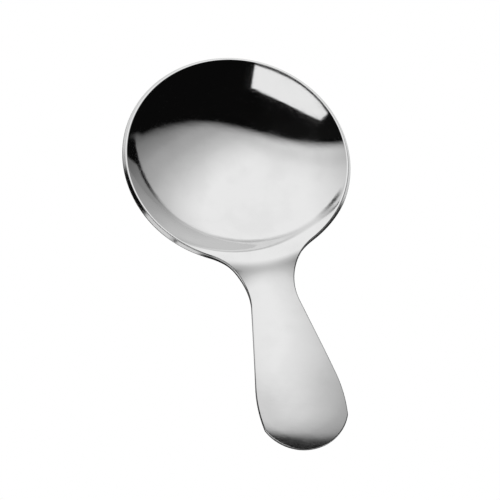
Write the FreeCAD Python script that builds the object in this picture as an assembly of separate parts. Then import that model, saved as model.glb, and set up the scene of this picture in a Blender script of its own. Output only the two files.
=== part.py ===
import FreeCAD, Part
import math
import os

# A short round spoon in polished stainless sheet, pressed from one blank.
# It is drawn with the bowl's rim in the plane z = 0, the handle towards -Y, and then
# set down on the table, where it stands on the bowl's underside and the handle's tip.

# Sheet, in mm
sheet = 1.3                 # thickness, the same all over
edge_break = 0.25           # polished bevel along both edges of the cut side

# Bowl
rim_radius = 23.2           # inner edge of the rim, seen from above
rim_slope = 40.0            # slope of the wall at the rim, in degrees
crest_blend = 3.6           # height over which the hollow rounds into the handle

# Neck and handle, seen from above
neck_radius = 11.5          # hollow corner between bowl and handle
waist_from_centre = 30.0    # station at which the waist is measured
waist_half_width = 4.65
flare_angle = 11.5          # how far each side opens towards the end, in degrees
shoulder_radius = 25.6      # rounding of the sides at the widest place
end_half_width = 9.1
end_depth = 6.5             # how deep the rounded end is over that width
corner_radius = 1.5         # soft corner between side and end
tip_from_centre = 64.0
crown_radius = 32.0         # the handle's top is slightly rounded across
crown_start = 22.0          # distance from the bowl's centre where that rounding starts
crown_full = 32.0           # and where it is complete

# Side profile of the handle: distance from the bowl's centre, height from the rim
profile_stations = [
    (-15.5, 1.6),
    (-19.0, 0.1),
    (-22.5, -1.0),
    (-26.0, -1.75),
    (-30.0, -1.9),
    (-38.0, -1.9),
    (-47.0, -1.9),
    (-56.0, -2.5),
    (-60.5, -3.1),
    (-64.5, -4.2),
]

# Fineness of the formed surface and of its cut
coarse_step = 5.0           # between stations on the bowl and the handle
fine_step = 2.5             # along the neck
middle_step = 4.0           # across the neck
neck_reach = 10.0           # how far the neck's stations reach to each side
margin = 3.0                # blank outside the cut
outline_step = 2.0          # between points of the cut
corner_steps = 4            # fewest points on any of its edges
small = 0.01                # for slopes, and for what counts as inside
turn_tolerance = 0.0001     # degrees, where the search for the resting turn ends
last_slope = 0.7            # share of its radius up to which the bowl's sphere is used
mesh_tolerance = 0.02       # for the points that the spoon is set down by

V = FreeCAD.Vector
sphere_radius = rim_radius / math.sin(math.radians(rim_slope))
sphere_height = sphere_radius * math.cos(math.radians(rim_slope))
end_radius = (end_half_width ** 2 + end_depth ** 2) / (2.0 * end_depth)


def smooth_step(t):
    """0 below t = 0, 1 above t = 1, with no jump in slope or curvature."""
    t = min(max(t, 0.0), 1.0)
    return t * t * t * (t * (6.0 * t - 15.0) + 10.0)


def smooth_min(a, b, blend):
    """The lower of two heights, rounded where they are within blend of each other."""
    share = max(blend - abs(a - b), 0.0) / blend
    return min(a, b) - share ** 3 * blend / 6.0


def make_profile():
    """Side profile as a curve whose parameter is the distance along Y."""
    low_to_high = sorted(profile_stations)
    low = low_to_high[0][0]
    high = low_to_high[-1][0]
    curve = Part.BSplineCurve()
    curve.interpolate(
        Points=[V(0, y, z) for y, z in low_to_high],
        Parameters=[y - low for y, z in low_to_high],
    )
    return curve, low, high


profile, profile_low, profile_high = make_profile()


def profile_height(y):
    """Height of the handle's centre line, carried on in a straight line past its ends."""
    inside = min(max(y, profile_low), profile_high)
    point, tangent = profile.getD1(inside - profile_low)
    return point.z + (y - inside) * tangent.z / tangent.y


def bowl_height(x, y):
    """Height of the spherical hollow, carried on in a straight line far outside the rim."""
    distance = math.hypot(x, y)
    inside = min(distance, last_slope * sphere_radius)
    height = sphere_height - math.sqrt(sphere_radius ** 2 - inside ** 2)
    slope = inside / math.sqrt(sphere_radius ** 2 - inside ** 2)
    return height + (distance - inside) * slope


def top_height(x, y):
    crown = smooth_step((-y - crown_start) / (crown_full - crown_start)) / crown_radius
    handle = profile_height(y) - crown * x * x / 2.0
    return smooth_min(bowl_height(x, y), handle, crest_blend)


def spaced(start, stop, step):
    """Even stations from start up to stop, no further apart than step."""
    count = math.ceil((stop - start) / step)
    return [start + (stop - start) * i / count for i in range(count)]


def stations():
    """Stations across and along the blank, closer together at the neck."""
    side = rim_radius + margin
    across = (
        spaced(-side, -neck_reach, coarse_step)
        + spaced(-neck_reach, neck_reach, middle_step)
        + spaced(neck_reach, side, coarse_step)
        + [side]
    )
    along = (
        spaced(-tip_from_centre - margin, -crown_full, coarse_step)
        + spaced(-crown_full, -crown_start + margin, fine_step)
        + spaced(-crown_start + margin, side, coarse_step)
        + [side]
    )
    return across, along


def sheet_normal(x, y):
    """Direction square to the formed sheet, upwards."""
    d = small
    rise_x = (top_height(x + d, y) - top_height(x - d, y)) / (2.0 * d)
    rise_y = (top_height(x, y + d) - top_height(x, y - d)) / (2.0 * d)
    normal = V(-rise_x, -rise_y, 1.0)
    return normal / normal.Length


def formed_face(depth):
    """One side of the formed sheet over the whole blank, at a depth below its top."""
    across, along = stations()
    rows = []
    for x in across:
        rows.append([V(x, y, top_height(x, y)) - sheet_normal(x, y) * depth for y in along])
    surface = Part.BSplineSurface()
    surface.interpolate(rows)
    return surface.toShape()


def formed_blank():
    """The formed sheet before it is cut to its outline."""
    top = formed_face(0.0)
    bottom = formed_face(sheet)
    sides = [Part.makeRuledSurface(a, b) for a, b in zip(top.Edges, bottom.Edges)]
    shell = Part.Shell([top, bottom] + sides)
    shell.sewShape()
    return Part.Solid(shell)


def circles_meet(c1, r1, c2, r2):
    """The crossing of two circles that lies furthest to +X."""
    gap = c2 - c1
    along = (r1 ** 2 - r2 ** 2 + gap.Length ** 2) / (2.0 * gap.Length)
    across = math.sqrt(r1 ** 2 - along ** 2)
    unit = gap / gap.Length
    foot = c1 + unit * along
    side = V(-unit.y, unit.x, 0) * across
    return max(foot + side, foot - side, key=lambda p: p.x)


def towards(start, goal, distance):
    step = goal - start
    return start + step * (distance / step.Length)


def right_side():
    """The right half of the cut seen from above: the edges from the rim to the end."""
    flare = math.radians(flare_angle)
    down = V(math.sin(flare), -math.cos(flare), 0)
    out = V(math.cos(flare), math.sin(flare), 0)
    waist = V(waist_half_width, -waist_from_centre, 0)

    # neck arc: touches the flare line and, from outside, the bowl's circle
    on_line = waist + out * neck_radius
    reach = rim_radius + neck_radius
    back = on_line.dot(down)
    travel = -back + math.sqrt(back ** 2 - on_line.Length ** 2 + reach ** 2)
    neck_centre = on_line + down * travel
    neck_top = towards(V(0, 0, 0), neck_centre, rim_radius)
    neck_bottom = neck_centre - out * neck_radius
    neck_middle = towards(neck_centre, (neck_top + neck_bottom) * 0.5, neck_radius)

    # shoulder arc: touches the flare line and reaches the handle's full half width
    centre_x = end_half_width - shoulder_radius
    drop = (shoulder_radius - (waist.x - centre_x) * math.cos(flare)) / math.sin(flare)
    shoulder_centre = V(centre_x, -waist_from_centre - drop, 0)
    shoulder_top = shoulder_centre + out * shoulder_radius

    # rounded end, with a small arc at the corner
    end_centre = V(0, -tip_from_centre + end_radius, 0)
    corner_centre = circles_meet(
        shoulder_centre, shoulder_radius - corner_radius, end_centre, end_radius - corner_radius
    )
    corner_top = towards(shoulder_centre, corner_centre, shoulder_radius)
    corner_bottom = towards(end_centre, corner_centre, end_radius)
    corner_middle = towards(corner_centre, (corner_top + corner_bottom) * 0.5, corner_radius)
    shoulder_middle = towards(shoulder_centre, (shoulder_top + corner_top) * 0.5, shoulder_radius)

    return [
        Part.Arc(neck_top, neck_middle, neck_bottom).toShape(),
        Part.makeLine(neck_bottom, shoulder_top),
        Part.Arc(shoulder_top, shoulder_middle, corner_top).toShape(),
        Part.Arc(corner_top, corner_middle, corner_bottom).toShape(),
    ]


def points_along(edge):
    """Even points from an edge's start up to its end, the end left out."""
    count = max(math.ceil(edge.Length / outline_step), corner_steps)
    return edge.discretize(Number=count + 1)[:-1]


def mirrored(point):
    return V(-point.x, point.y, point.z)


def outline_points():
    """Points clockwise round the whole outline, closer together at the small corners."""
    edges = right_side()
    start = edges[0].valueAt(edges[0].FirstParameter)
    stop = edges[-1].valueAt(edges[-1].LastParameter)
    end = Part.Arc(stop, V(0, -tip_from_centre, 0), mirrored(stop)).toShape()
    rim = Part.Arc(mirrored(start), V(0, rim_radius, 0), start).toShape()
    right = [point for edge in edges for point in points_along(edge)]
    left = [mirrored(point) for point in reversed(right[1:] + [stop])]
    return right + points_along(end) + left + points_along(rim)


def cut_wire(points, inwards, depth):
    """A closed curve that follows the outline, inwards along the sheet and below its top."""
    path = []
    for i, point in enumerate(points):
        ahead = points[(i + 1) % len(points)]
        behind = points[i - 1]
        tangent = ahead - behind
        normal = sheet_normal(point.x, point.y)
        inside = V(tangent.y, -tangent.x, 0)
        inside = inside - normal * inside.dot(normal)
        inside = inside / inside.Length
        surface_point = V(point.x, point.y, top_height(point.x, point.y))
        path.append(surface_point + inside * inwards - normal * depth)
    curve = Part.BSplineCurve()
    curve.interpolate(Points=path, PeriodicFlag=True)
    return Part.Wire([curve.toShape()])


def make_spoon():
    """The formed blank cut square to its sheet along the outline, with bevelled edges."""
    points = outline_points()
    clear = 2.0 * edge_break
    section = [
        (edge_break + clear, -clear),
        (0.0, edge_break),
        (0.0, sheet - edge_break),
        (edge_break + clear, sheet + clear),
    ]
    wires = [cut_wire(points, inwards, depth) for inwards, depth in section]
    cut = Part.makeLoft(wires, False, True)
    pieces, _ = formed_blank().generalFuse([cut])
    middle_of_sheet = V(0, 0, top_height(0, 0) - sheet / 2.0)
    return next(piece for piece in pieces.Solids if piece.isInside(middle_of_sheet, small, True))


def turned(point, degrees):
    """Where a point goes when the spoon is turned about X."""
    sine = math.sin(math.radians(degrees))
    cosine = math.cos(math.radians(degrees))
    return V(point.x, point.y * cosine - point.z * sine, point.y * sine + point.z * cosine)


def lowest(points, degrees):
    """Lowest height of some points once they are turned about X."""
    return min(turned(point, degrees).z for point in points)


def resting_turn(points):
    """The turn about X at which the bowl's underside and the handle stand equally low."""
    bowl = [point for point in points if point.y > -rim_radius]
    handle = [point for point in points if point.y < -waist_from_centre]
    low = -45.0
    high = 45.0
    while high - low > turn_tolerance:
        middle = (low + high) / 2.0
        if lowest(handle, middle) > lowest(bowl, middle):
            low = middle
        else:
            high = middle
    return (low + high) / 2.0


def set_down(spoon):
    """The spoon at rest on z = 0, with the middle of its length and width over the origin."""
    points, _ = spoon.tessellate(mesh_tolerance)
    degrees = resting_turn(points)
    placed = [turned(point, degrees) for point in points]
    middle_y = (min(p.y for p in placed) + max(p.y for p in placed)) / 2.0
    spoon.rotate(V(0, 0, 0), V(1, 0, 0), degrees)
    spoon.translate(V(0, -middle_y, -min(p.z for p in placed)))


spoon = make_spoon()
set_down(spoon)
os.makedirs("parts", exist_ok=True)
spoon.exportStep("parts/spoon.step")
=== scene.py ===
import bmesh
import bpy
import math
import numpy as np
from mathutils import Matrix, Vector


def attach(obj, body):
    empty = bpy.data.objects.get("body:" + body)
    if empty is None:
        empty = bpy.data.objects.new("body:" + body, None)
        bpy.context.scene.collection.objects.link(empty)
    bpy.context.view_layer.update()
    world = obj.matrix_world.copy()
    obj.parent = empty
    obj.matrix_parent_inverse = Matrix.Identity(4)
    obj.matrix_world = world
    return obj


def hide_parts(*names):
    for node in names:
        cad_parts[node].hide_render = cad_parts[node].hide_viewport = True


# A short round spoon, pressed from one sheet of stainless steel and mirror polished.
# It is drawn in millimetres, with the bowl's rim in the plane z = 0 and the handle towards
# -Y, and then set down in metres on the table, where it stands on the bowl's underside
# and the handle's tip.

MM = 0.001                  # a millimetre of the drawing, in metres

# Sheet
sheet = 1.3                 # thickness, the same all over
edge_rounding = 0.33        # polished edges, rounder than the bevel of the cut sheet

# Bowl
rim_radius = 23.2           # inner edge of the rim, seen from above
rim_slope = 40.0            # slope of the wall at the rim, in degrees
crest_blend = 3.6           # height over which the hollow rounds into the handle

# Neck and handle, seen from above
neck_radius = 11.5          # hollow corner between bowl and handle
waist_from_centre = 30.0    # station at which the waist is measured
waist_half_width = 4.65
flare_angle = 11.5          # how far each side opens towards the end, in degrees
shoulder_radius = 25.6      # rounding of the sides at the widest place
end_half_width = 9.1
end_depth = 6.5             # how deep the rounded end is over that width
corner_radius = 1.5         # soft corner between side and end
tip_from_centre = 64.0
crown_radius = 32.0         # the handle's top is slightly rounded across
crown_start = 22.0          # distance from the bowl's centre where that rounding starts
crown_full = 32.0           # and where it is complete

# Side profile of the handle: distance from the bowl's centre, height from the rim
profile_stations = [
    (-15.5, 1.6),
    (-19.0, 0.1),
    (-22.5, -1.0),
    (-26.0, -1.75),
    (-30.0, -1.9),
    (-38.0, -1.9),
    (-47.0, -1.9),
    (-56.0, -2.5),
    (-60.5, -3.1),
    (-64.5, -4.2),
]

# Fineness of the mesh
outline_step = 0.45         # between the points of the cut
fewest_steps = 6            # on any arc of the cut
half_columns = 56           # faces from the middle of the sheet to its edge
arc_steps = 4               # faces over each polished edge
land_steps = 3              # faces over the flat of the cut side
slope_step = 0.01           # over which slopes are measured
last_slope = 0.7            # share of its radius up to which the bowl's sphere is used
steepest_turn = 45.0        # degrees, where the search for the resting turn starts
turn_tolerance = 0.0001     # and where it ends
merge_distance = 1e-7       # metres, for points that fall together

# Camera, placed in the spoon's own drawing
camera_turn = -32.41        # degrees round from the handle's end, towards its left
camera_height = 63.46       # degrees above the rim
camera_roll = 19.84
camera_distance = 500.0
camera_aim = (-2.81, -21.05)
image_width = 500.0         # pixels
pixels_per_mm = 4.918       # at the place that it aims at
sensor_width = 36.0         # millimetres
nearest_seen = 0.01         # metres
furthest_seen = 20.0

# Steel: lengths in metres, directions seen from above in degrees from X
steel_grey = 0.655
polish_roughness = 0.028
streak_detail = 2.0

# Smudges
smudge_scale = 130.0
smudge_detail = 4.0
smudge_stops = [(0.42, 0.0), (0.68, 1.0)]
smudge_roughness = 0.05
smudge_darkening = 0.03

# Fine wear scratches
scratch_directions = (12.0, 74.0, 118.0, 155.0)
scratch_width = 0.00012
scratch_length = 0.006
scratch_stops = [(0.66, 0.0), (0.72, 1.0)]
scratch_roughness = 0.08
scratch_depth = 0.0000004

# Faint marks of wiping, and the slight waviness of a pressed sheet
wipe_directions = (-40.0, -12.0)
wipe_width = 0.0011
wipe_length = 0.013
wipe_height = 0.000003
wave_scale = 260.0
wave_detail = 1.0
wave_height = 0.000002

# Brushed cut side
brush_direction = 60.0
brush_width = 0.00009
brush_length = 0.003
brush_roughness = 0.16
brush_depth = 0.000002

# The handle's end, dulled by handling
handling_stops = [(-0.044, 1.0), (-0.036, 0.0)]
handling_roughness = 0.13

# Studio light. A plane is given by the direction square to it, as shares to the right, away
# from the camera and up. Stops pair a place with a brightness, or with a share of one. The
# place is how far a direction lies inside an edge, to the right, or above the dark line.
edge_softness = 0.02        # border of the straight edges
room_brightness = 0.004     # where no light reaches

# The bright panel overhead: its near and side edges, and how it fades inside them
panel_near_plane = (0.189, 1.0, -0.084)
panel_near_start = -0.29
panel_side_plane = (-1.046, 1.0, 0.807)
panel_side_start = -0.004
panel_side_weight = 1.105
panel_rounding = 1.623      # how softly those two edges run into one another
panel_edge_stops = [(-0.06, 0.008), (-0.03, 0.033), (0.0, 0.44), (0.03, 0.79), (0.07, 1.0)]
panel_side_stops = [
    (-0.1, 0.226), (0.0, 0.239), (0.1, 0.26), (0.2, 0.39), (0.35, 0.525), (0.5, 0.745), (0.7, 1.0),
]
panel_near_stops = [(-0.1, 0.80), (0.0, 0.906), (0.1, 0.963), (0.25, 1.0)]
panel_left_stops = [(-0.95, 0.714), (-0.85, 0.85), (-0.7, 0.989), (-0.5, 1.0)]
panel_brightness = 1.23

# How much further the panel reaches far to the right, and the share of that at each height
panel_corner_stops = [(0.73, 0.0), (0.79, 0.03)]
panel_corner_top_stops = [(0.27, 1.0), (0.36, 0.0)]

# The dark line along the foot of the far wall, which stands higher to both sides
line_height = 0.12
line_rise = 0.16
line_stops = [(-0.03, 0.0), (-0.005, 1.0), (0.02, 1.0), (0.045, 0.0)]
line_darkness_stops = [
    (-0.88, 0.0), (-0.83, 0.85), (-0.76, 0.5), (-0.68, 0.1), (-0.3, 0.3), (-0.1, 0.25),
    (0.05, 0.08), (0.3, 0.08), (0.4, 0.5), (0.5, 0.97), (0.74, 0.97), (0.785, 0.0),
]

# The room's floor below that line: lit on its left side, and otherwise shaded up to a place
# far to the right
line_foot_stops = [(-0.005, 1.0), (0.02, 0.0)]
shade_end_stops = [(0.75, 1.0), (0.785, 0.0)]
floor_side_plane = (-1.0, 0.92, -0.6)
floor_light_stops = [(-0.8, 0.9), (-0.4, 0.82), (0.1, 0.75), (0.35, 0.6)]

# A lit window in the dark near side, with three straight edges and a foot that falls to
# both sides
window_planes = [(-0.11, -1.0, -0.609), (-1.0, -0.236, -0.012), (0.837, -1.0, 0.403)]
window_foot = 0.685
window_foot_drop = 0.22
window_brightness = 1.2

# A pale strip low on the near side, which the cut edge of the bowl reflects
strip_plane = (1.0, -1.28, 0.0)
strip_top = 0.22
strip_slope = 0.33
strip_softness = 0.1
strip_stops = [(-0.45, 0.95), (-0.3, 0.42), (0.6, 0.42), (0.9, 1.0)]

# Table as the spoon reflects it: a near-black colour as painted shade close by, and a painted glow
# beyond the bowl and to the left of the handle. Places are in metres from under the bowl's middle,
# away from the camera for far and near, and to the right for left and right.
floor_width = 0.6
# near-black, so the table close to the spoon shows painted shade
floor_shade_color = (0.05, 0.05, 0.05, 1.0)
floor_roughness = 0.8
# strength of the painted glow on the table
painted_glow_brightness = 0.85
painted_glow_far_stops = [(0.008, 0.0), (0.024, 1.0)]
painted_glow_near_stops = [(-0.034, 1.0), (-0.03, 0.0)]
painted_glow_left_stops = [(-0.05, 0.0), (-0.02, 1.0)]
painted_glow_right_stops = [(0.002, 1.0), (0.006, 0.0)]

sphere_radius = rim_radius / math.sin(math.radians(rim_slope))
sphere_height = sphere_radius * math.cos(math.radians(rim_slope))
end_radius = (end_half_width ** 2 + end_depth ** 2) / (2.0 * end_depth)


# Shape of the pressed sheet

def smooth_step(t):
    """0 below t = 0, 1 above t = 1, with no jump in slope or curvature."""
    t = np.clip(t, 0.0, 1.0)
    return t ** 3 * (t * (6.0 * t - 15.0) + 10.0)


def smooth_min(a, b, blend):
    """The lower of two heights, rounded where they are within blend of each other."""
    share = np.maximum(blend - np.abs(a - b), 0.0) / blend
    return np.minimum(a, b) - share ** 3 * blend / 6.0


class Profile:
    """A smooth curve through the profile's stations, straight past its ends."""

    def __init__(self, stations):
        self.y, self.z = np.array(sorted(stations)).T
        gap = np.diff(self.y)
        slope = np.diff(self.z) / gap
        count = len(self.y)
        matrix = np.zeros((count, count))
        right = np.zeros(count)

        # at the inner stations the curvature has no jump
        for i in range(1, count - 1):
            matrix[i, i - 1:i + 2] = (gap[i], 2.0 * (gap[i - 1] + gap[i]), gap[i - 1])
            right[i] = 3.0 * (gap[i] * slope[i - 1] + gap[i - 1] * slope[i])

        # each end has the slope of a parabola through the last three stations
        matrix[0, 0] = 1.0
        matrix[-1, -1] = 1.0
        right[0] = slope[0] - (slope[1] - slope[0]) * gap[0] / (gap[0] + gap[1])
        right[-1] = slope[-1] + (slope[-1] - slope[-2]) * gap[-1] / (gap[-1] + gap[-2])
        self.slope = np.linalg.solve(matrix, right)

    def height(self, y):
        """Height at an array of distances from the bowl's centre."""
        inside = np.clip(y, self.y[0], self.y[-1])
        i = np.clip(np.searchsorted(self.y, inside) - 1, 0, len(self.y) - 2)
        gap = self.y[i + 1] - self.y[i]
        t = (inside - self.y[i]) / gap
        curve = (
            (1.0 + 2.0 * t) * (1.0 - t) ** 2 * self.z[i]
            + t * (1.0 - t) ** 2 * gap * self.slope[i]
            + t ** 2 * (3.0 - 2.0 * t) * self.z[i + 1]
            + t ** 2 * (t - 1.0) * gap * self.slope[i + 1]
        )
        end_slope = np.where(y < self.y[0], self.slope[0], self.slope[-1])
        return curve + (y - inside) * end_slope


profile = Profile(profile_stations)


def bowl_height(x, y):
    """Height of the spherical hollow, carried on in a straight line far outside the rim."""
    distance = np.hypot(x, y)
    inside = np.minimum(distance, last_slope * sphere_radius)
    drop = np.sqrt(sphere_radius ** 2 - inside ** 2)
    return sphere_height - drop + (distance - inside) * inside / drop


def top_height(x, y):
    """Height of the sheet's top, as it is pressed."""
    crown = smooth_step((-y - crown_start) / (crown_full - crown_start)) / crown_radius
    handle = profile.height(y) - crown * x * x / 2.0
    return smooth_min(bowl_height(x, y), handle, crest_blend)


def sheet_normal(x, y):
    """Direction square to the pressed sheet, upwards, for arrays of places."""
    d = slope_step
    rise_x = (top_height(x + d, y) - top_height(x - d, y)) / (2.0 * d)
    rise_y = (top_height(x, y + d) - top_height(x, y - d)) / (2.0 * d)
    normal = np.stack([-rise_x, -rise_y, np.ones_like(rise_x)], axis=-1)
    return normal / np.linalg.norm(normal, axis=-1, keepdims=True)


# Outline of the cut

def unit(vector):
    """A vector's direction, with length 1."""
    return vector / np.linalg.norm(vector)


def heading(vector):
    """The angle of a flat vector from X."""
    return math.atan2(vector[1], vector[0])


def arc(centre, start, stop, clockwise):
    """Even points and directions of travel on an arc, its last point left out."""
    radius = np.linalg.norm(start - centre)
    first = heading(start - centre)
    turn = (heading(stop - centre) - first) % (2.0 * math.pi)
    if clockwise:
        turn -= 2.0 * math.pi
    count = max(math.ceil(abs(turn) * radius / outline_step), fewest_steps)
    angle = first + turn * np.arange(count) / count
    out = np.stack([np.cos(angle), np.sin(angle)], axis=-1)
    travel = np.stack([-out[:, 1], out[:, 0]], axis=-1) * math.copysign(1.0, turn)
    return centre + out * radius, travel


def line(start, stop):
    """Even points and directions of travel on a line, its last point left out."""
    step = stop - start
    count = math.ceil(np.linalg.norm(step) / outline_step)
    share = np.arange(count)[:, None] / count
    return start + step * share, np.tile(unit(step), (count, 1))


def circles_meet(c1, r1, c2, r2):
    """The crossing of two circles that lies furthest to +X."""
    gap = c2 - c1
    length = np.linalg.norm(gap)
    along_gap = (r1 ** 2 - r2 ** 2 + length ** 2) / (2.0 * length)
    across = math.sqrt(r1 ** 2 - along_gap ** 2)
    side = np.array([-gap[1], gap[0]]) / length * across
    foot = c1 + gap / length * along_gap
    return max(foot + side, foot - side, key=lambda p: p[0])


def right_side():
    """The right half of the cut from the bowl's far point to the handle's tip."""
    flare = math.radians(flare_angle)
    down = np.array([math.sin(flare), -math.cos(flare)])
    out = np.array([math.cos(flare), math.sin(flare)])
    waist = np.array([waist_half_width, -waist_from_centre])
    far_point = np.array([0.0, rim_radius])
    tip = np.array([0.0, -tip_from_centre])

    # neck arc: touches the flare line and, from outside, the bowl's circle
    on_line = waist + out * neck_radius
    reach = rim_radius + neck_radius
    back = on_line @ down
    neck_centre = on_line + down * (math.sqrt(back ** 2 - on_line @ on_line + reach ** 2) - back)
    neck_top = unit(neck_centre) * rim_radius
    neck_bottom = neck_centre - out * neck_radius

    # shoulder arc: touches the flare line and reaches the handle's full half width
    centre_x = end_half_width - shoulder_radius
    drop = (shoulder_radius - (waist[0] - centre_x) * math.cos(flare)) / math.sin(flare)
    shoulder_centre = np.array([centre_x, -waist_from_centre - drop])
    shoulder_top = shoulder_centre + out * shoulder_radius

    # rounded end, with a small arc at the corner
    end_centre = tip + np.array([0.0, end_radius])
    corner_centre = circles_meet(
        shoulder_centre, shoulder_radius - corner_radius, end_centre, end_radius - corner_radius
    )
    corner_top = shoulder_centre + unit(corner_centre - shoulder_centre) * shoulder_radius
    corner_bottom = end_centre + unit(corner_centre - end_centre) * end_radius

    parts = [
        arc(np.zeros(2), far_point, neck_top, True),
        arc(neck_centre, neck_top, neck_bottom, False),
        line(neck_bottom, shoulder_top),
        arc(shoulder_centre, shoulder_top, corner_top, True),
        arc(corner_centre, corner_top, corner_bottom, True),
        arc(end_centre, corner_bottom, tip, True),
        (tip[None, :], np.array([[-1.0, 0.0]])),
    ]
    points = np.concatenate([part[0] for part in parts])
    travel = np.concatenate([part[1] for part in parts])
    return points, travel


# Mesh of the whole skin

def cut_section():
    """Points down the cut side: how far inwards, how deep, and their normal's angle from up."""
    top = []
    for i in range(arc_steps + 1):
        lean = math.pi / 2.0 * i / arc_steps
        inwards = (1.0 - math.sin(lean)) * edge_rounding
        depth = (1.0 - math.cos(lean)) * edge_rounding
        top.append((inwards, depth, lean))
    land = sheet - 2.0 * edge_rounding
    flat = []
    for i in range(1, land_steps):
        flat.append((0.0, edge_rounding + land * i / land_steps, math.pi / 2.0))
    bottom = [(inwards, sheet - depth, math.pi - lean) for inwards, depth, lean in reversed(top)]
    return top + flat + bottom


def cut_shares(around):
    """How much each point round a ring belongs to the cut side: 0 on the sheet's two faces."""
    side = [math.sin(lean) for inwards, depth, lean in cut_section()]
    face = [0.0] * (around // 2 - len(side))
    return (face + side) * 2


def cut_side(points, travel):
    """Places and normals of the right cut side: one row for each point of the outline."""
    x, y = points.T
    normal = sheet_normal(x, y)
    inside = np.stack([travel[:, 1], -travel[:, 0], np.zeros(len(x))], axis=-1)
    inside -= normal * np.sum(inside * normal, axis=-1, keepdims=True)
    inside /= np.linalg.norm(inside, axis=-1, keepdims=True)
    surface = np.stack([x, y, top_height(x, y)], axis=-1)
    places = []
    normals = []
    for inwards, depth, lean in cut_section():
        places.append(surface + inside * inwards - normal * depth)
        normals.append(normal * math.cos(lean) - inside * math.sin(lean))
    return np.stack(places, axis=1), np.stack(normals, axis=1)


def formed_rows(edge, depth, columns):
    """Places and upward normals in rows across the sheet, between its left and right edges."""
    x = edge[:, None, 0] * columns[None, :]
    y = np.repeat(edge[:, None, 1], len(columns), axis=1)
    normal = sheet_normal(x, y)
    places = np.stack([x, y, top_height(x, y)], axis=-1) - normal * depth
    return places, normal


def spoon_grid():
    """The whole skin as closed rings round the sheet, from the bowl's far point to the tip."""
    points, travel = right_side()
    side, side_normal = cut_side(points, travel)
    mirror = np.array([-1.0, 1.0, 1.0])
    columns = np.arange(-half_columns + 1, half_columns) / half_columns

    # on the first and the last ring these rows shrink to one point, on the middle line
    edge = side[:, 0, :2].copy()
    edge[0, 0] = 0.0
    edge[-1, 0] = 0.0

    top, top_normal = formed_rows(edge, 0.0, columns)
    bottom, bottom_normal = formed_rows(edge, sheet, columns[::-1])
    places = np.concatenate([top, side, bottom, side[:, ::-1] * mirror], axis=1)
    normals = np.concatenate(
        [top_normal, side_normal, -bottom_normal, side_normal[:, ::-1] * mirror], axis=1
    )
    return places, normals


def lowest(points, degrees):
    """Lowest height of some points once they are turned about X."""
    turn = math.radians(degrees)
    return np.min(points[:, 1] * math.sin(turn) + points[:, 2] * math.cos(turn))


def resting_turn(points):
    """The turn about X at which the bowl's underside and the handle stand equally low."""
    bowl = points[points[:, 1] > -rim_radius]
    handle = points[points[:, 1] < -waist_from_centre]
    low = -steepest_turn
    high = steepest_turn
    while high - low > turn_tolerance:
        middle = (low + high) / 2.0
        if lowest(handle, middle) > lowest(bowl, middle):
            low = middle
        else:
            high = middle
    return math.radians((low + high) / 2.0)


def resting_place(places):
    """The move from the spoon's drawing, in mm, to the table, in metres."""
    points = places.reshape(-1, 3)
    turn = Matrix.Rotation(resting_turn(points), 4, "X")
    turned = points @ np.array(turn.to_3x3()).T
    middle = (turned[:, 1].min() + turned[:, 1].max()) / 2.0
    lift = Matrix.Translation((0.0, -middle, -turned[:, 2].min()))
    return Matrix.Scale(MM, 4) @ lift @ turn


def skin(name, places, normals, material):
    """A closed mesh over a grid of rings, with its ends closed and its own smooth normals."""
    rings, around = places.shape[:2]
    ring = np.arange(rings - 1)[:, None] * around
    here = np.arange(around)[None, :]
    after = (here + 1) % around
    corners = [ring + here, ring + around + here, ring + around + after, ring + after]
    faces = np.stack(corners, axis=-1)
    mesh = bpy.data.meshes.new(name)
    mesh.from_pydata(places.reshape(-1, 3).tolist(), [], faces.reshape(-1, 4).tolist())
    stored = mesh.attributes.new("formed_normal", "FLOAT_VECTOR", "POINT")
    stored.data.foreach_set("vector", normals.reshape(-1))
    cut = mesh.attributes.new("cut_side", "FLOAT", "POINT")
    cut.data.foreach_set("value", cut_shares(around) * rings)
    merge_points(mesh)
    mesh.polygons.foreach_set("use_smooth", [True] * len(mesh.polygons))
    kept = np.zeros(len(mesh.vertices) * 3)
    mesh.attributes["formed_normal"].data.foreach_get("vector", kept)
    mesh.normals_split_custom_set_from_vertices(kept.reshape(-1, 3).tolist())
    mesh.attributes.remove(mesh.attributes["formed_normal"])
    mesh.materials.append(material)
    piece = bpy.data.objects.new(name, mesh)
    bpy.context.scene.collection.objects.link(piece)
    return piece


def merge_points(mesh):
    """Joins the points that fall together at the two ends."""
    work = bmesh.new()
    work.from_mesh(mesh)
    bmesh.ops.remove_doubles(work, verts=work.verts, dist=merge_distance)
    work.to_mesh(mesh)
    work.free()


# Sums in a node tree

def calc(tree, operation, *values, clamp=False):
    """One sum in a node tree; each input is a socket or a number."""
    node = tree.nodes.new("ShaderNodeMath")
    node.operation = operation
    node.use_clamp = clamp
    for socket, value in zip(node.inputs, values):
        if isinstance(value, bpy.types.NodeSocket):
            tree.links.new(value, socket)
        else:
            socket.default_value = value
    return node.outputs[0]


def product(tree, values):
    """Several brightnesses multiplied with one another."""
    result = values[0]
    for value in values[1:]:
        result = calc(tree, "MULTIPLY", result, value)
    return result


def along(tree, direction, axis):
    """How far a direction or a place lies along an axis."""
    node = tree.nodes.new("ShaderNodeVectorMath")
    node.operation = "DOT_PRODUCT"
    tree.links.new(direction, node.inputs[0])
    node.inputs[1].default_value = axis
    return node.outputs["Value"]


def falloff(tree, value, stops):
    """A brightness that follows a value smoothly through (value, brightness) stops."""
    low = stops[0][0]
    span = stops[-1][0] - low
    ramp = tree.nodes.new("ShaderNodeValToRGB")
    ramp.color_ramp.interpolation = "CARDINAL" if len(stops) > 2 else "EASE"
    points = ramp.color_ramp.elements
    while len(points) < len(stops):
        points.new(0.5)
    for point, (position, brightness) in zip(points, stops):
        point.position = (position - low) / span
        point.color = (brightness, brightness, brightness, 1.0)
    share = calc(tree, "DIVIDE", calc(tree, "SUBTRACT", value, low), span)
    tree.links.new(share, ramp.inputs[0])
    return ramp.outputs["Color"]


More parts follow.
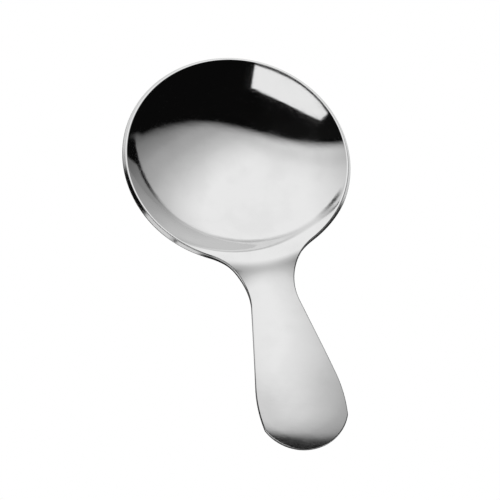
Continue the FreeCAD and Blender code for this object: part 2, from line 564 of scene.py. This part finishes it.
def noise(tree, point, scale, detail):
    """Soft noise between 0 and 1; its scale is in patches for each unit of the place."""
    node = tree.nodes.new("ShaderNodeTexNoise")
    node.inputs["Scale"].default_value = scale
    node.inputs["Detail"].default_value = detail
    tree.links.new(point, node.inputs["Vector"])
    return node.outputs["Fac"]


def streaks(tree, point, direction, width, length):
    """Noise drawn out along one direction, seen from above, given in degrees from X."""
    node = tree.nodes.new("ShaderNodeMapping")
    node.vector_type = "TEXTURE"
    node.inputs["Rotation"].default_value = (0.0, 0.0, math.radians(direction))
    node.inputs["Scale"].default_value = (length, width, width)
    tree.links.new(point, node.inputs["Vector"])
    return noise(tree, node.outputs["Vector"], 1.0, streak_detail)


# Steel

def wear_scratches(tree, point):
    """Fine scratches that cross in several directions."""
    scratches = 0.0
    for direction in scratch_directions:
        drawn = streaks(tree, point, direction, scratch_width, scratch_length)
        scratches = calc(tree, "MAXIMUM", falloff(tree, drawn, scratch_stops), scratches)
    return scratches


def brush_strokes(tree, point):
    """Strokes of the brush, on the cut side alone."""
    cut = tree.nodes.new("ShaderNodeAttribute")
    cut.attribute_name = "cut_side"
    strokes = streaks(tree, point, brush_direction, brush_width, brush_length)
    return calc(tree, "MULTIPLY", cut.outputs["Fac"], strokes)


def polished_steel():
    """Mirror-polished steel with smudges, wear scratches and a brushed cut side."""
    material = bpy.data.materials.new("polished steel")
    material.use_nodes = True
    tree = material.node_tree
    shader = tree.nodes["Principled BSDF"]
    point = tree.nodes.new("ShaderNodeTexCoord").outputs["Object"]
    smudges = falloff(tree, noise(tree, point, smudge_scale, smudge_detail), smudge_stops)
    scratches = wear_scratches(tree, point)
    brushing = brush_strokes(tree, point)
    handled = falloff(tree, along(tree, point, (0.0, 1.0, 0.0)), handling_stops)

    roughness = calc(tree, "MULTIPLY_ADD", smudges, smudge_roughness, polish_roughness)
    roughness = calc(tree, "MULTIPLY_ADD", scratches, scratch_roughness, roughness)
    roughness = calc(tree, "MULTIPLY_ADD", brushing, brush_roughness, roughness)
    roughness = calc(tree, "MULTIPLY_ADD", handled, handling_roughness, roughness)
    tree.links.new(roughness, shader.inputs["Roughness"])

    grey = calc(tree, "MULTIPLY_ADD", smudges, -smudge_darkening, steel_grey)
    color = tree.nodes.new("ShaderNodeCombineColor")
    for channel in color.inputs:
        tree.links.new(grey, channel)
    tree.links.new(color.outputs["Color"], shader.inputs["Base Color"])
    shader.inputs["Metallic"].default_value = 1.0

    height = calc(tree, "MULTIPLY", noise(tree, point, wave_scale, wave_detail), wave_height)
    for direction in wipe_directions:
        wiped = streaks(tree, point, direction, wipe_width, wipe_length)
        height = calc(tree, "MULTIPLY_ADD", wiped, wipe_height, height)
    height = calc(tree, "MULTIPLY_ADD", scratches, -scratch_depth, height)
    height = calc(tree, "MULTIPLY_ADD", brushing, brush_depth, height)
    bump = tree.nodes.new("ShaderNodeBump")
    bump.inputs["Distance"].default_value = 1.0
    bump.inputs["Strength"].default_value = 1.0
    tree.links.new(height, bump.inputs["Height"])
    tree.links.new(bump.outputs["Normal"], shader.inputs["Normal"])
    return material


# Studio

def flat_directions():
    """To the right of the camera and away from it, both level."""
    turn = math.radians(camera_turn)
    right = Vector((math.cos(turn), math.sin(turn), 0.0))
    away = Vector((-math.sin(turn), math.cos(turn), 0.0))
    return right, away


def studio_axes(place):
    """To the right, away from the camera and up from the rim, once the spoon is set down."""
    right, away = flat_directions()
    up = Vector((0.0, 0.0, 1.0))
    turn = place.to_3x3() * (1.0 / MM)
    return [(turn @ axis).normalized() for axis in (right, away, up)]


def inside_plane(tree, direction, axes, plane):
    """How far a direction lies on the inner side of a plane through the spoon."""
    square = axes[0] * plane[0] + axes[1] * plane[1] + axes[2] * plane[2]
    return along(tree, direction, square.normalized())


def edge_mask(tree, distance):
    """1 inside a straight edge and 0 outside, with a narrow soft border."""
    return calc(tree, "ADD", calc(tree, "DIVIDE", distance, edge_softness), 0.5, clamp=True)


def above_bow(tree, up, right, height, rise):
    """How far a direction stands above a bow, which rises towards both sides."""
    bow = calc(tree, "MULTIPLY_ADD", calc(tree, "MULTIPLY", right, right), rise, height)
    return calc(tree, "SUBTRACT", up, bow)


def panel_light(tree, direction, axes, right, up):
    """The bright panel overhead, which fades towards its near and right edges."""
    near = inside_plane(tree, direction, axes, panel_near_plane)
    side = inside_plane(tree, direction, axes, panel_side_plane)
    near_edge = calc(tree, "SUBTRACT", near, panel_near_start)
    side_edge = calc(tree, "SUBTRACT", side, panel_side_start)
    side_edge = calc(tree, "MULTIPLY", side_edge, panel_side_weight)
    edge = calc(tree, "SMOOTH_MIN", near_edge, side_edge, panel_rounding)
    corner = product(tree, [
        falloff(tree, right, panel_corner_stops),
        falloff(tree, up, panel_corner_top_stops),
    ])
    edge = calc(tree, "ADD", edge, corner)
    return product(tree, [
        falloff(tree, edge, panel_edge_stops),
        falloff(tree, side, panel_side_stops),
        falloff(tree, near, panel_near_stops),
        falloff(tree, right, panel_left_stops),
        panel_brightness,
    ])


def low_shade(tree, direction, axes, right, up):
    """What the dark line at the foot of the far wall, and the floor below it, leave of the light."""
    above = above_bow(tree, up, right, line_height, line_rise)
    darkness = product(tree, [
        falloff(tree, above, line_stops),
        falloff(tree, right, line_darkness_stops),
    ])
    lit_floor = product(tree, [
        falloff(tree, right, floor_light_stops),
        edge_mask(tree, inside_plane(tree, direction, axes, floor_side_plane)),
    ])
    on_floor = product(tree, [
        falloff(tree, above, line_foot_stops),
        falloff(tree, right, shade_end_stops),
    ])
    shaded = calc(tree, "MULTIPLY", on_floor, calc(tree, "SUBTRACT", 1.0, lit_floor))
    return product(tree, [calc(tree, "SUBTRACT", 1.0, darkness), calc(tree, "SUBTRACT", 1.0, shaded)])


def window_light(tree, direction, axes, right, up):
    """A bright window, halfway up on the near side, with a curved foot."""
    edges = [inside_plane(tree, direction, axes, plane) for plane in window_planes]
    edges.append(above_bow(tree, up, right, window_foot, -window_foot_drop))
    return product(tree, [edge_mask(tree, edge) for edge in edges] + [window_brightness])


def strip_light(tree, direction, axes, right, up):
    """A pale strip along the table's near side, higher towards the camera."""
    top = calc(tree, "MULTIPLY_ADD", along(tree, direction, axes[1]), -strip_slope, strip_top)
    below = calc(tree, "DIVIDE", calc(tree, "SUBTRACT", top, up), strip_softness, clamp=True)
    beside = edge_mask(tree, inside_plane(tree, direction, axes, strip_plane))
    return product(tree, [below, beside, falloff(tree, right, strip_stops)])


def studio_world(place):
    """The room as the spoon reflects it, and plain white to the camera."""
    world = bpy.data.worlds.new("studio")
    bpy.context.scene.world = world
    world.use_nodes = True
    tree = world.node_tree
    axes = studio_axes(place)
    direction = tree.nodes.new("ShaderNodeTexCoord").outputs["Generated"]
    to_camera = tree.nodes.new("ShaderNodeLightPath").outputs["Is Camera Ray"]
    right = along(tree, direction, axes[0])
    up = along(tree, direction, axes[2])
    panel = panel_light(tree, direction, axes, right, up)
    lit = calc(tree, "MULTIPLY", panel, low_shade(tree, direction, axes, right, up))
    lit = calc(tree, "ADD", lit, window_light(tree, direction, axes, right, up))
    lit = calc(tree, "ADD", lit, strip_light(tree, direction, axes, right, up))
    room = calc(tree, "MAXIMUM", lit, room_brightness)
    seen = calc(tree, "MAXIMUM", room, to_camera)
    tree.links.new(seen, tree.nodes["Background"].inputs["Color"])


def painted_table_glow(tree, place):
    """Brightness of the painted glow on the table, beyond the bowl and to the left of the handle."""
    point = tree.nodes.new("ShaderNodeTexCoord").outputs["Object"]
    right, away = flat_directions()
    rightwards = calc(tree, "SUBTRACT", along(tree, point, right), place.translation @ right)
    beyond = calc(tree, "SUBTRACT", along(tree, point, away), place.translation @ away)
    near_glow = product(tree, [
        falloff(tree, beyond, painted_glow_near_stops),
        falloff(tree, rightwards, painted_glow_left_stops),
        falloff(tree, rightwards, painted_glow_right_stops),
    ])
    # painted light: the table glows beyond the bowl and beside the handle, and stays dark elsewhere
    # as painted shade
    glow = calc(tree, "ADD", falloff(tree, beyond, painted_glow_far_stops), near_glow)
    return calc(tree, "MULTIPLY", glow, painted_glow_brightness)


def mixed(tree, share, first, second):
    """The first shader where the share is 0 and the second where it is 1."""
    node = tree.nodes.new("ShaderNodeMixShader")
    for socket, value in zip(node.inputs, (share, first, second)):
        tree.links.new(value, socket)
    return node.outputs["Shader"]


def table_with_painted_light(place):
    """The table as the spoon reflects it, with painted glow and painted shade, plain white to the
    camera and clear from below.
    """
    material = bpy.data.materials.new("pale floor")
    material.use_nodes = True
    tree = material.node_tree
    surface = tree.nodes["Principled BSDF"]
    surface.inputs["Base Color"].default_value = floor_shade_color
    surface.inputs["Roughness"].default_value = floor_roughness
    # The table's glow is painted light, and its near-black colour is painted shade close to the
    # spoon.
    surface.inputs["Emission Strength"].default_value = 1.0
    tree.links.new(painted_table_glow(tree, place), surface.inputs["Emission Color"])
    white = tree.nodes.new("ShaderNodeEmission").outputs["Emission"]
    clear = tree.nodes.new("ShaderNodeBsdfTransparent").outputs["BSDF"]
    to_camera = tree.nodes.new("ShaderNodeLightPath").outputs["Is Camera Ray"]
    from_below = tree.nodes.new("ShaderNodeNewGeometry").outputs["Backfacing"]
    from_above = mixed(tree, to_camera, surface.outputs["BSDF"], white)
    seen = mixed(tree, from_below, from_above, clear)
    tree.links.new(seen, tree.nodes["Material Output"].inputs["Surface"])
    return material


def white_floor(place):
    """A square of table under the spoon."""
    half = floor_width / 2.0
    corners = [(-half, -half, 0.0), (half, -half, 0.0), (half, half, 0.0), (-half, half, 0.0)]
    mesh = bpy.data.meshes.new("floor")
    mesh.from_pydata(corners, [], [(0, 1, 2, 3)])
    mesh.materials.append(table_with_painted_light(place))
    floor = bpy.data.objects.new("floor", mesh)
    bpy.context.scene.collection.objects.link(floor)


def camera(place):
    """The camera, placed over the spoon's drawing, rolled, and moved as the spoon is."""
    height = math.radians(camera_height)
    roll = math.radians(camera_roll)
    right, away = flat_directions()
    back = Vector((0.0, 0.0, math.sin(height))) - away * math.cos(height)
    up = back.cross(right)
    rolled_right = right * math.cos(roll) + up * math.sin(roll)
    rolled_up = up * math.cos(roll) - right * math.sin(roll)
    axes = Matrix((rolled_right, rolled_up, back)).transposed()
    aim = Vector((*camera_aim, 0.0))

    data = bpy.data.cameras.new("camera")
    data.sensor_width = sensor_width
    data.lens = pixels_per_mm * camera_distance / image_width * sensor_width
    data.clip_start = nearest_seen
    data.clip_end = furthest_seen
    viewer = bpy.data.objects.new("camera", data)
    tilt = place.to_3x3() * (1.0 / MM) @ axes
    viewer.matrix_world = Matrix.Translation(place @ (aim + back * camera_distance)) @ tilt.to_4x4()
    bpy.context.scene.collection.objects.link(viewer)
    bpy.context.scene.camera = viewer


# The scene

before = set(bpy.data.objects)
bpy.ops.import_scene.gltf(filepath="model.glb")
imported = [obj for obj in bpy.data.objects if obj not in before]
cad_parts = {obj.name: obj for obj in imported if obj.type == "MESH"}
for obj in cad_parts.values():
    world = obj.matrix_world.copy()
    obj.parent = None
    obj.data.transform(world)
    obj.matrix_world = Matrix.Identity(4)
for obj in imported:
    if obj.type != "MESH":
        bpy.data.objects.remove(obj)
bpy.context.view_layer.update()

places, normals = spoon_grid()
place = resting_place(places)
move = np.array(place.to_3x3())
places = places @ move.T + np.array(place.translation)
normals = normals @ (move / MM).T
spoon = skin("pressed_spoon", places, normals, polished_steel())
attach(spoon, "root")
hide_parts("spoon")

studio_world(place)
white_floor(place)
camera(place)
bpy.context.scene.view_settings.view_transform = "Standard"
